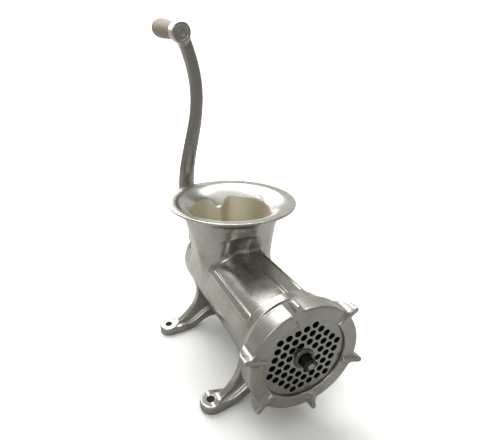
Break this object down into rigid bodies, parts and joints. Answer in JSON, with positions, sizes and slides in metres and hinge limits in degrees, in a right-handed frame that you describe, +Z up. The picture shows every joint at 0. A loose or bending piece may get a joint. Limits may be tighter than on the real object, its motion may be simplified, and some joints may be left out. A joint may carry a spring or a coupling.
{
  "type": "hand crank meat grinder",
  "caption": "Bolt-down cast meat grinder with a bell hopper, feed screw, cross knife, drilled plate, lugged ring nut and an S-shaped crank with a wooden grip.",
  "frame": {"origin": "on the bench plane, midway between the two front bolt holes", "axes": "+Z up; the barrel runs along Y with its open end and plate facing -Y and the crank at +Y; +X is the user's left when facing the plate from the crank side"},
  "size_m": [0.1974, 0.4176, 0.42],
  "materials": {
    "tinned_casting": "tinned and part polished, faint casting grain",
    "ground_steel": "ground",
    "dark_steel": "turned, dark",
    "bush_bronze": "reamed",
    "fibre": "pressed fibre",
    "pale_wood": "turned and worn smooth"
  },
  "bodies": {
    "body": {"body_casting": "tinned_casting", "rear_bush": "bush_bronze", "thrust_washer": "fibre", "plate_pin": "dark_steel"},
    "drive": {"feed_screw": "tinned_casting", "screw_stud": "dark_steel", "cross_knife": "ground_steel", "crank_arm": "tinned_casting", "grip_spindle": "dark_steel", "grip_washer": "dark_steel", "grip_end_washer": "dark_steel"},
    "grip": {"wood_grip": "pale_wood"},
    "plate": {"grinding_plate": "ground_steel", "plate_bush": "ground_steel"},
    "ring": {"ring_nut": "tinned_casting"},
    "washer": {"crank_washer": "dark_steel"},
    "thumb": {"thumb_screw": "ground_steel"}
  },
  "joints": [
    {"name": "crank_turn", "type": "hinge", "parent": "body", "child": "drive", "pos_m": [0, 0.183, 0.0955], "axis": [0, 1, 0], "continuous": true},
    {"name": "grip_spin", "type": "hinge", "parent": "drive", "child": "grip", "pos_m": [-0.0258, 0.242, 0.3964], "axis": [-0.0094, 0.994, 0.1093], "continuous": true},
    {"name": "plate_out", "type": "slide", "parent": "body", "child": "plate", "axis": [0, -1, 0], "range_m": [0, 0.01401]},
    {"name": "ring_unscrew", "type": "hinge", "parent": "plate", "child": "ring", "pos_m": [0, -0.049, 0.0955], "axis": [0, -1, 0], "range_deg": [0, 1260]},
    {"name": "washer_out", "type": "slide", "parent": "drive", "child": "washer", "axis": [0, 1, 0], "range_m": [0, 0.01201]},
    {"name": "thumb_unscrew", "type": "hinge", "parent": "washer", "child": "thumb", "pos_m": [0, 0.263, 0.0955], "axis": [0, 1, 0], "range_deg": [0, 2160]}
  ],
  "couplings": [
    {"joint": "plate_out", "follows": "ring_unscrew", "m_per_rad": 0.00063662},
    {"joint": "washer_out", "follows": "thumb_unscrew", "m_per_rad": 0.00031831}
  ]
}
